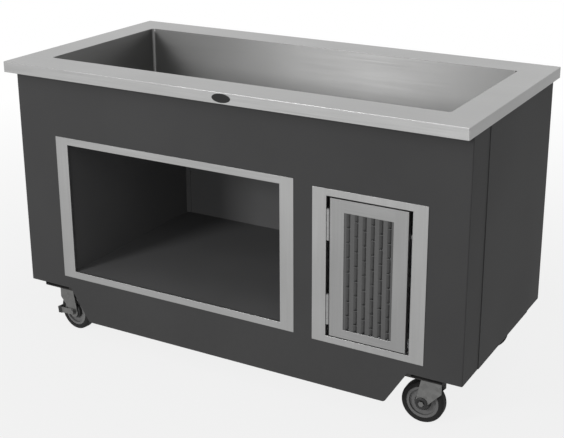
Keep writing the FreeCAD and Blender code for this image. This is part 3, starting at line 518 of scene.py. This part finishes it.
def make_finishes(colours, lap):
    """Every finish of the counter, by the name of its slot."""
    groups = {"grain": brushed_grain(), "fine": fine_texture(), "spangle": spangle(), "dust": floor_dust()}
    door_low, door_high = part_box("door_frame")
    trim_low, trim_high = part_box("storage_trim")
    door_middle = (door_low.x + door_high.x) / 2
    door_half = (GRILLE_HIGH.x - GRILLE_LOW.x) / 2 - lap
    trim_middle = (trim_low.x + trim_high.x) / 2
    trim_half = (trim_high.x - trim_low.x) / 2 - STORAGE_STILE
    # Each finish: its name, colour, node groups and roughness, then what sets it apart
    return {
        "top_steel": brushed_metal("Satin Top", colours.top, groups, 0.36),
        # The pan's stainless is the top's made darker: painted shade in the well
        "pan_steel": brushed_metal("Satin Pan", colours.pan, groups, 0.5, drawn=0.9),
        "trim_steel": brushed_metal("Satin Trim", colours.trim, groups, 0.38, trim_middle, trim_half),
        "door_steel": brushed_metal("Satin Door", colours.door, groups, 0.40, door_middle, door_half),
        "louver_steel": brushed_metal("Dull Louver", colours.louver, groups, 0.5, half=0.0),
        "body_paint": painted("Charcoal Body", colours.body, groups, 0.55, dusty=0.03),
        # The bays' paint is the body's paint made lighter: painted light inside the bays
        "bay_paint": painted("Charcoal Bay", colours.bay, groups, 0.55),
        "galvanised": coated_sheet("Galvanised Sheet", (0.45, 0.46, 0.47), groups, 0.42),
        "base_steel": painted("Black Base", (0.02, 0.02, 0.021), groups, 0.5, dusty=0.3),
        "foam": moulded("Rigid Foam", (0.75, 0.66, 0.40), groups, 0.9, 900.0, relief=0.5),
        "copper": plain_metal("Drawn Copper", (0.62, 0.27, 0.15), groups, 0.32),
        "drain_brass": plain_metal("Cast Brass", (0.55, 0.40, 0.17), groups, 0.36),
        "drain_steel": plain_metal("Turned Stainless", (0.50, 0.50, 0.49), groups, 0.28),
        "badge_black": moulded("Blank Badge", (0.012, 0.012, 0.012), groups, 0.3, 900.0, relief=0.05),
        "black_plastic": moulded("Black Moulding", (0.022, 0.022, 0.022), groups, 0.45),
        "machine_black": painted("Black Enamel", (0.012, 0.012, 0.013), groups, 0.3, relief=0.2),
        "fin_metal": plain_metal("Mill Aluminium", (0.58, 0.58, 0.59), groups, 0.4),
        "zinc": coated_sheet("Dull Zinc", (0.16, 0.16, 0.157), groups, 0.45),
        "tyre": moulded("Black Tread", (0.006, 0.006, 0.006), groups, 0.75, 500.0, relief=0.3, dusty=0.03),
        "wheel_core": moulded("Grey Core", colours.core, groups, 0.5, 500.0, relief=0.2, dusty=0.1),
    }


def find_joint(name):
    """Joint of the frame by its name."""
    found = [joint for joint in frame["joints"] if joint["name"] == name]
    if not found:
        raise RuntimeError(f"no joint named {name}")
    return found[0]


def begin():
    """Leaves edit mode and selects nothing."""
    if bpy.context.object and bpy.context.object.mode != "OBJECT":
        bpy.ops.object.mode_set(mode="OBJECT")
    bpy.ops.object.select_all(action="DESELECT")


def take_up(piece):
    """Makes a piece the active one, selected alone."""
    begin()
    piece.select_set(True)
    bpy.context.view_layer.objects.active = piece


def edit(piece):
    """Enters edit mode on one piece, all of it selected."""
    take_up(piece)
    bpy.ops.object.mode_set(mode="EDIT")
    bpy.ops.mesh.select_all(action="SELECT")


def select(chosen, kind="faces"):
    """Selects the faces, edges or vertices of the mesh being edited that the test chooses."""
    mesh = bpy.context.object.data
    form = bmesh.from_edit_mesh(mesh)
    modes = {"verts": "VERT", "edges": "EDGE", "faces": "FACE"}
    bpy.ops.mesh.select_mode(type=modes[kind])
    bpy.ops.mesh.select_all(action="DESELECT")
    found = [item for item in getattr(form, kind) if chosen(item)]
    if not found:
        raise RuntimeError(f"{bpy.context.object.name}: nothing to select")
    for item in found:
        item.select_set(True)
    form.select_flush_mode()
    bmesh.update_edit_mesh(mesh)


def set_down(place=ORIGIN):
    """Moves the whole mesh being edited, leaves edit mode and puts the object's place into its mesh."""
    bpy.ops.mesh.select_all(action="SELECT")
    bpy.ops.transform.translate(value=place)
    bpy.ops.object.mode_set(mode="OBJECT")
    bpy.ops.object.transform_apply(location=True, rotation=True, scale=True)


def copy_of(piece, name, offset=ORIGIN):
    """Copy of a piece with its own mesh, moved."""
    twin = piece.copy()
    twin.data = piece.data.copy()
    twin.name = twin.data.name = name
    bpy.context.collection.objects.link(twin)
    for vertex in twin.data.vertices:
        vertex.co += Vector(offset)
    return twin


def merged_copy(node, name):
    """Copy of a carried-over piece, being edited, its triangles merged into flat faces."""
    twin = copy_of(frame["nodes"][node], name)
    edit(twin)
    bpy.ops.mesh.remove_doubles(threshold=MERGE_GAP)
    bpy.ops.mesh.dissolve_limited(angle_limit=FLAT_ANGLE)
    return twin


def round_folds(radius, segments):
    """Rounds the sharp edges of the mesh being edited."""
    select(lambda edge: edge.calc_face_angle(0.0) > FOLD_ANGLE, "edges")
    bpy.ops.mesh.bevel(offset=radius, segments=segments, affect="EDGES", clamp_overlap=True)


def join(pieces, name):
    """One piece from several."""
    begin()
    for piece in pieces:
        piece.select_set(True)
    bpy.context.view_layer.objects.active = pieces[0]
    bpy.ops.object.join()
    pieces[0].name = pieces[0].data.name = name
    return pieces[0]


def apply_modifier(piece, kind, **settings):
    """Adds a modifier and applies it."""
    take_up(piece)
    modifier = piece.modifiers.new(kind.title(), kind)
    for name, value in settings.items():
        setattr(modifier, name, value)
    bpy.ops.object.modifier_apply(modifier=modifier.name)


def repeat(piece, count, step):
    """Repeats a piece along a step and merges the seams."""
    apply_modifier(
        piece, "ARRAY", count=count, use_relative_offset=False, use_constant_offset=True,
        constant_offset_displace=step, use_merge_vertices=True, merge_threshold=SEAM_GAP)


def settle(piece, body, slot, smooth=None):
    """Finishes a piece: place in its mesh, smooth under an angle in degrees, on its body, in its slot."""
    take_up(piece)
    bpy.ops.object.transform_apply(location=True, rotation=True, scale=True)
    if smooth:
        bpy.ops.object.shade_smooth_by_angle(angle=math.radians(smooth))
    piece.data.materials.clear()
    piece.data.materials.append(FINISHES[slot])
    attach(piece, body)
    begin()


class COUNTER_OT_finish_sheetwork(bpy.types.Operator):
    """Gives every carried-over piece the finish of its slot"""

    bl_idname = "counter.finish_sheetwork"
    bl_label = "Finish Sheetwork"

    def execute(self, context):
        lap = context.scene.counter_fittings.louver_lap
        FINISHES.update(make_finishes(context.scene.counter_finishes, lap))
        for part in frame["record"]["subparts"]:
            for holder in frame["nodes"][part["node"]].material_slots:
                holder.material = FINISHES[part["material_slot"]]
        return {"FINISHED"}


class COUNTER_OT_frame_edges(bpy.types.Operator):
    """Stainless frames with their folded edges rounded"""

    bl_idname = "counter.frame_edges"
    bl_label = "Frame Edges"

    def execute(self, context):
        rounding = context.scene.counter_fittings.edge_round
        for node, body, slot in STAINLESS_FRAMES:
            sheet = merged_copy(node, node + "_sheet")
            round_folds(rounding, segments=2)
            settle(sheet, body, slot, smooth=60)
            apply_modifier(sheet, "WEIGHTED_NORMAL", weight=100, keep_sharp=True)
            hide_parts(node)
        return {"FINISHED"}


def upright_sheet(width, height):
    """Flat sheet facing the front, being edited."""
    begin()
    bpy.ops.mesh.primitive_plane_add(size=1.0, rotation=(math.pi / 2, 0.0, 0.0), enter_editmode=True)
    bpy.ops.transform.resize(value=(width, 1.0, height), center_override=ORIGIN)
    return bpy.context.object


def louver_cell(fittings, pitch, row, corner):
    """One slot of the louver sheet with its fin turned in."""
    cell = upright_sheet(pitch, row)
    bpy.ops.mesh.inset(thickness=fittings.slot_bridge / 2, depth=0.0)
    narrowed = fittings.slot_width / (pitch - fittings.slot_bridge)
    bpy.ops.transform.resize(value=(narrowed, 1.0, 1.0), center_override=ORIGIN)
    bpy.ops.mesh.split()
    hinge = (-fittings.slot_width / 2, 0.0, 0.0)
    bpy.ops.transform.rotate(value=-fittings.fin_turn, orient_axis="Z", center_override=hinge)
    bpy.ops.mesh.select_all(action="SELECT")
    bpy.ops.mesh.remove_doubles(threshold=MERGE_GAP)
    set_down(corner + Vector((pitch / 2, 0.0, row / 2)))
    return cell


def louver_border(lap, low, high):
    """Flat edge of the louver sheet with its rim turned back."""
    width, depth, height = high - low
    border = upright_sheet(width, height)
    bpy.ops.mesh.inset(thickness=lap, depth=0.0)
    bpy.ops.mesh.delete(type="FACE")

    def on_rim(edge):
        """Whether an open edge lies on the outside of the sheet."""
        return edge.is_boundary and any(
            abs(abs(point.co.x) - width / 2) < MERGE_GAP or abs(abs(point.co.y) - height / 2) < MERGE_GAP
            for point in edge.verts)

    select(on_rim, "edges")
    bpy.ops.mesh.extrude_region_move(TRANSFORM_OT_translate={"value": (0.0, depth, 0.0)})
    set_down(Vector(((low.x + high.x) / 2, low.y, (low.z + high.z) / 2)))
    return border


class COUNTER_OT_louver_sheet(bpy.types.Operator):
    """Door sheet with staggered columns of slots, a fin turned in at each"""

    bl_idname = "counter.louver_sheet"
    bl_label = "Louver Sheet"

    def execute(self, context):
        fittings = context.scene.counter_fittings
        columns, rows = fittings.louver_columns, fittings.louver_rows
        lap = Vector((fittings.louver_lap, 0.0, fittings.louver_lap))
        low, high = GRILLE_LOW + lap, GRILLE_HIGH - lap
        pitch = (high.x - low.x) / columns
        row = (high.z - low.z) / rows
        even = louver_cell(fittings, pitch, row, low)
        odd = copy_of(even, "odd_slots", (pitch, 0.0, -row / 2))
        for cell, slots, across in ((even, rows, (columns + 1) // 2), (odd, rows + 1, columns // 2)):
            repeat(cell, slots, (0.0, 0.0, row))
            repeat(cell, across, (2 * pitch, 0.0, 0.0))
        edit(odd)
        for level, upper in ((low.z, False), (high.z, True)):
            bpy.ops.mesh.select_all(action="SELECT")
            bpy.ops.mesh.bisect(
                plane_co=(0.0, 0.0, level), plane_no=(0.0, 0.0, 1.0),
                clear_outer=upper, clear_inner=not upper)
        border = louver_border(fittings.louver_lap, GRILLE_LOW, GRILLE_HIGH)
        sheet = join([even, odd, border], "louver_sheet")
        edit(sheet)
        bpy.ops.mesh.remove_doubles(threshold=SEAM_GAP)
        apply_modifier(sheet, "SOLIDIFY", thickness=fittings.louver_gauge, offset=-1.0)
        settle(sheet, "louver_door", "louver_steel")
        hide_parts("louver_grille")
        return {"FINISHED"}


class COUNTER_OT_dial_ticks(bpy.types.Operator):
    """Raised marks round the thermostat knob"""

    bl_idname = "counter.dial_ticks"
    bl_label = "Dial Ticks"

    def execute(self, context):
        fittings = context.scene.counter_fittings
        size, count = fittings.tick_length, fittings.tick_count
        low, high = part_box("thermostat_knob")
        reach = (high.x - low.x) / 2 + size
        middle = find_joint("thermostat_turn")["pos_m"]
        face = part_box("control_box")[0].y
        begin()
        bpy.ops.mesh.primitive_cube_add(size=1.0, enter_editmode=True)
        mark = bpy.context.object
        bpy.ops.transform.resize(value=(size * TICK_WIDTH, size * TICK_RISE, size), center_override=ORIGIN)
        select(lambda edge: edge.calc_length() > size / 2, "edges")
        bpy.ops.mesh.bevel(offset=size * TICK_ROUND, segments=2, affect="EDGES")
        set_down((0.0, 0.0, reach))
        ticks = []
        for step in range(count):
            tick = copy_of(mark, "tick")
            tick.rotation_euler.y = DIAL_SWEEP * (0.5 - step / (count - 1))
            tick.location = (middle[0], face - size * TICK_RISE / 2, middle[2])
            ticks.append(tick)
        bpy.data.objects.remove(mark)
        settle(join(ticks, "thermostat_ticks"), "cabinet", "black_plastic")
        return {"FINISHED"}


def round_underside(radius):
    """Rounds the lower rim of the mesh being edited."""
    select(lambda face: face.normal.z < -DOWN_FACING)
    bpy.ops.mesh.bevel(offset=radius, segments=2, affect="EDGES")


def caster_bolt(radius, height):
    """Hexagon head about the origin, with a washer on top of it."""
    begin()
    bpy.ops.mesh.primitive_cylinder_add(vertices=6, radius=radius, depth=height, enter_editmode=True)
    head = bpy.context.object
    round_underside(height * HEAD_CHAMFER)
    set_down()
    gauge = height * WASHER_HEIGHT
    bpy.ops.mesh.primitive_cylinder_add(
        vertices=32, radius=radius * WASHER_RADIUS, depth=gauge,
        location=(0.0, 0.0, (height + gauge) / 2), enter_editmode=True)
    washer = bpy.context.object
    round_underside(height * WASHER_ROUND)
    set_down()
    return join([head, washer], "caster_bolt")


class COUNTER_OT_caster_bolts(bpy.types.Operator):
    """Four hexagon bolts and washers through each caster plate"""

    bl_idname = "counter.caster_bolts"
    bl_label = "Caster Bolts"

    def execute(self, context):
        fittings = context.scene.counter_fittings
        height = fittings.bolt_height
        bolt = caster_bolt(fittings.bolt_radius, height)
        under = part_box("caster_plates")[1].z - fittings.plate_gauge - height * (0.5 + WASHER_HEIGHT)
        along, across = fittings.bolt_spacing
        for name in CASTERS:
            middle = Vector(find_joint(name + "_swivel_turn")["pos_m"])
            set_of_four = []
            for x in (-along / 2, along / 2):
                for y in (-across / 2, across / 2):
                    spot = (middle.x + x, middle.y + y, under)
                    set_of_four.append(copy_of(bolt, "bolt", spot))
            settle(join(set_of_four, name + "_bolts"), "cabinet", "zinc", smooth=30)
        bpy.data.objects.remove(bolt)
        return {"FINISHED"}


def turned(name, stations, segments=48):
    """Ring turned about Z through a closed profile of radius and level."""
    begin()
    radius, level = stations[0]
    bpy.ops.mesh.primitive_circle_add(
        vertices=segments, radius=radius, location=(0.0, 0.0, level), enter_editmode=True)
    ring = bpy.context.object
    ring.name = ring.data.name = name
    for next_radius, next_level in stations[1:]:
        bpy.ops.mesh.extrude_edges_move(
            TRANSFORM_OT_translate={"value": (0.0, 0.0, next_level - level)})
        grow = next_radius / radius
        bpy.ops.transform.resize(value=(grow, grow, 1.0), center_override=ORIGIN)
        radius, level = next_radius, next_level
    select(lambda edge: edge.is_boundary, "edges")
    bpy.ops.mesh.bridge_edge_loops()
    bpy.ops.mesh.select_all(action="SELECT")
    bpy.ops.mesh.normals_make_consistent(inside=False)
    set_down()
    return ring


def turned_cup(name, radius, bore, start, height, outside, inside):
    """Cup turned about Z from its shares of radius, bore and height."""
    outer = [(radius * share, start + height * level) for share, level in outside]
    inner = [(bore * share, start + height * level) for share, level in inside]
    return turned(name, inner[:1] + outer + inner[1:])


def on_axle(cup, caster, side, name):
    """Copy of a turned cup, on one side of a caster's wheel."""
    joint = find_joint(caster + "_wheel_spin")
    placed = copy_of(cup, name)
    placed.rotation_mode = "QUATERNION"
    placed.rotation_quaternion = (Vector(joint["axis"]) * side).to_track_quat("Z", "X")
    placed.location = joint["pos_m"]
    return placed


class COUNTER_OT_thread_guards(bpy.types.Operator):
    """Black cups on both sides of each wheel's hub"""

    bl_idname = "counter.thread_guards"
    bl_label = "Thread Guards"

    def execute(self, context):
        fittings = context.scene.counter_fittings
        cup = turned_cup(
            "thread_guard", fittings.guard_radius, fittings.guard_bore, fittings.guard_start,
            fittings.guard_height, GUARD_OUTSIDE, GUARD_INSIDE)
        for name in CASTERS:
            pair = [on_axle(cup, name, side, "guard") for side in (-1, 1)]
            settle(join(pair, name + "_thread_guards"), name + "_wheel", "black_plastic", smooth=30)
        bpy.data.objects.remove(cup)
        return {"FINISHED"}


class COUNTER_OT_axle_caps(bpy.types.Operator):
    """Black cap round the head of each axle, on the outer face of the fork"""

    bl_idname = "counter.axle_caps"
    bl_label = "Axle Caps"

    def execute(self, context):
        fittings = context.scene.counter_fittings
        cup = turned_cup(
            "axle_cap", fittings.cap_radius, fittings.cap_bore, fittings.fork_half,
            fittings.cap_height, CAP_OUTSIDE, CAP_INSIDE)
        for name in CASTERS:
            cap = on_axle(cup, name, -1, name + "_axle_cap")
            settle(cap, name + "_swivel", "black_plastic", smooth=30)
        bpy.data.objects.remove(cup)
        return {"FINISHED"}


class COUNTER_OT_brake_grips(bpy.types.Operator):
    """Black rubber grip over the tip of each brake lever"""

    bl_idname = "counter.brake_grips"
    bl_label = "Brake Grips"

    def execute(self, context):
        fittings = context.scene.counter_fittings
        for name in BRAKED:
            joint = find_joint(name + "_brake_release")
            axis, axle = Vector(joint["axis"]), Vector(joint["pos_m"])
            low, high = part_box(name + "_brake")
            along = (low + high) / 2 - axle
            along = (along - axis * along.dot(axis)).normalized()
            mouth = axle + along * fittings.grip_start
            grip = merged_copy(name + "_brake", name + "_brake_grip")
            bpy.ops.mesh.select_all(action="SELECT")
            bpy.ops.mesh.bisect(plane_co=mouth, plane_no=along, use_fill=True, clear_inner=True)
            bpy.ops.mesh.select_all(action="SELECT")
            bpy.ops.transform.shrink_fatten(value=fittings.grip_gauge, use_even_offset=True)
            round_folds(fittings.grip_gauge, segments=3)
            settle(grip, name + "_brake", "black_plastic", smooth=40)
        return {"FINISHED"}


def seen_rays(tree):
    """One for rays from the camera and for reflected and refracted ones."""
    path = new_node(tree, "ShaderNodeLightPath")
    seen = calculate(tree, "MAXIMUM", path.outputs["Is Camera Ray"], path.outputs["Is Glossy Ray"])
    return calculate(tree, "MAXIMUM", seen, path.outputs["Is Transmission Ray"])


def set_world(strength):
    """White all round for the camera and for reflections, and a plain fill for the rest."""
    world = bpy.data.worlds.new("Studio")
    bpy.context.scene.world = world
    world.use_nodes = True
    tree = world.node_tree
    tree.nodes.clear()
    fill = new_node(tree, "ShaderNodeBackground", {"Color": WHITE, "Strength": strength})
    white = new_node(tree, "ShaderNodeBackground", {"Color": WHITE, "Strength": 1.0})
    shaders = {0: seen_rays(tree), 1: fill.outputs[0], 2: white.outputs[0]}
    mix = new_node(tree, "ShaderNodeMixShader", shaders)
    output = new_node(tree, "ShaderNodeOutputWorld")
    tree.links.new(mix.outputs[0], output.inputs["Surface"])


def set_floor():
    """Plain pale floor that keeps the counter's shadow."""
    begin()
    bpy.ops.mesh.primitive_circle_add(
        vertices=64, radius=FLOOR_RADIUS, fill_type="NGON", enter_editmode=True)
    bpy.ops.mesh.inset(thickness=FLOOR_RADIUS - FLOOR_MIDDLE)
    bpy.ops.object.mode_set(mode="OBJECT")
    floor = bpy.context.object
    floor.name = "studio_floor"
    material, tree, surface = new_material("Pale Floor", 0.0, FLOOR_SPECULAR)
    surface.inputs["Base Color"].default_value = FLOOR_GREY
    surface.inputs["Roughness"].default_value = FLOOR_ROUGH
    glow = new_node(tree, "ShaderNodeEmission", {"Color": WHITE, "Strength": 1.0})
    place = object_place(tree)
    far = new_node(tree, "ShaderNodeVectorMath", {0: place}, operation="LENGTH").outputs["Value"]
    pale = new_node(tree, "ShaderNodeMapRange", {"Value": far, **FLOOR_WHITE}).outputs["Result"]
    share = calculate(tree, "MULTIPLY", seen_rays(tree), pale)
    mix = new_node(tree, "ShaderNodeMixShader", {0: share, 1: surface.outputs[0], 2: glow.outputs[0]})
    output = next(node for node in tree.nodes if node.type == "OUTPUT_MATERIAL")
    tree.links.new(mix.outputs[0], output.inputs["Surface"])
    floor.data.materials.append(material)


def set_lamp(name, power, size, place, aim):
    """Soft lamp pointed at a place."""
    light = bpy.data.lights.new(name, "AREA")
    light.energy = power
    light.shape = "RECTANGLE"
    light.size, light.size_y = size
    lamp = bpy.data.objects.new(name, light)
    bpy.context.collection.objects.link(lamp)
    lamp.location = place
    lamp.rotation_euler = (Vector(aim) - Vector(place)).to_track_quat("-Z", "Y").to_euler()
    lamp.visible_camera = False


def set_flag(grey):
    """Grey flag at the right, lower than the counter's top, that only reflections see."""
    begin()
    bpy.ops.mesh.primitive_grid_add(x_subdivisions=2, y_subdivisions=2, size=1.0)
    flag = bpy.context.object
    flag.name = "grey_flag"
    flag.scale = (*FLAG_SIZE, 1.0)
    flag.location = FLAG_PLACE
    flag.rotation_euler = Vector((1.0, 0.0, 0.0)).to_track_quat("Z", "Y").to_euler()
    material, _, surface = new_material("Grey Flag", 0.0, 0.0)
    surface.inputs["Base Color"].default_value = BLACK
    surface.inputs["Emission Color"].default_value = (grey, grey, grey, 1.0)
    surface.inputs["Emission Strength"].default_value = 1.0
    flag.data.materials.append(material)
    flag.visible_camera = False
    flag.visible_diffuse = False
    flag.visible_shadow = False


def set_camera(stage):
    """Camera at its distance from its aim, looking along its yaw and pitch."""
    camera = bpy.data.cameras.new("camera")
    camera.lens = stage.lens
    camera.sensor_width = SENSOR_WIDTH
    camera.shift_x, camera.shift_y = stage.shift
    viewer = bpy.data.objects.new("camera", camera)
    bpy.context.collection.objects.link(viewer)
    back = Vector((
        math.sin(stage.yaw) * math.cos(stage.pitch),
        -math.cos(stage.yaw) * math.cos(stage.pitch),
        math.sin(stage.pitch)))
    viewer.location = Vector(stage.aim) + back * stage.distance
    viewer.rotation_euler = (-back).to_track_quat("-Z", "Y").to_euler()
    bpy.context.scene.camera = viewer


class COUNTER_OT_stage(bpy.types.Operator):
    """World, floor, lamps, flag and camera of the studio"""

    bl_idname = "counter.stage"
    bl_label = "Stage"

    def execute(self, context):
        stage = context.scene.counter_stage
        context.scene.view_settings.view_transform = "Standard"
        set_world(stage.fill)
        set_floor()
        for name, (size, place, aim) in LAMPS.items():
            set_lamp(name + "_lamp", getattr(stage, name), size, place, aim)
        set_flag(stage.flag)
        set_camera(stage)
        return {"FINISHED"}


class COUNTER_PT_panel(bpy.types.Panel):
    """Counter's settings and steps"""

    bl_label = "Cold Serving Counter"
    bl_idname = "COUNTER_PT_panel"
    bl_space_type = "VIEW_3D"
    bl_region_type = "UI"
    bl_category = "Counter"

    def draw(self, context):
        layout = self.layout
        for settings in SETTINGS:
            group = getattr(context.scene, settings)
            for name in group.bl_rna.properties.keys():
                if name not in ("rna_type", "name"):
                    layout.prop(group, name)
        for step in STEPS:
            layout.operator(step.bl_idname)


SETTINGS = {
    "counter_finishes": CounterFinishes,
    "counter_fittings": CounterFittings,
    "counter_stage": CounterStage,
}
STEPS = (
    COUNTER_OT_finish_sheetwork,
    COUNTER_OT_frame_edges,
    COUNTER_OT_louver_sheet,
    COUNTER_OT_dial_ticks,
    COUNTER_OT_caster_bolts,
    COUNTER_OT_thread_guards,
    COUNTER_OT_axle_caps,
    COUNTER_OT_brake_grips,
    COUNTER_OT_stage,
)
CLASSES = tuple(SETTINGS.values()) + STEPS + (COUNTER_PT_panel,)


def register():
    """Registers the settings, the steps and the panel."""
    for item in CLASSES:
        bpy.utils.register_class(item)
    for name, settings in SETTINGS.items():
        setattr(bpy.types.Scene, name, PointerProperty(type=settings))


def unregister():
    """Takes away what register added."""
    for name in SETTINGS:
        delattr(bpy.types.Scene, name)
    for item in reversed(CLASSES):
        bpy.utils.unregister_class(item)


def main():
    """Dresses the counter step by step."""
    register()
    bpy.ops.counter.finish_sheetwork()
    bpy.ops.counter.frame_edges()
    bpy.ops.counter.louver_sheet()
    bpy.ops.counter.dial_ticks()
    bpy.ops.counter.caster_bolts()
    bpy.ops.counter.thread_guards()
    bpy.ops.counter.axle_caps()
    bpy.ops.counter.brake_grips()
    bpy.ops.counter.stage()


if __name__ == "__main__":
    main()
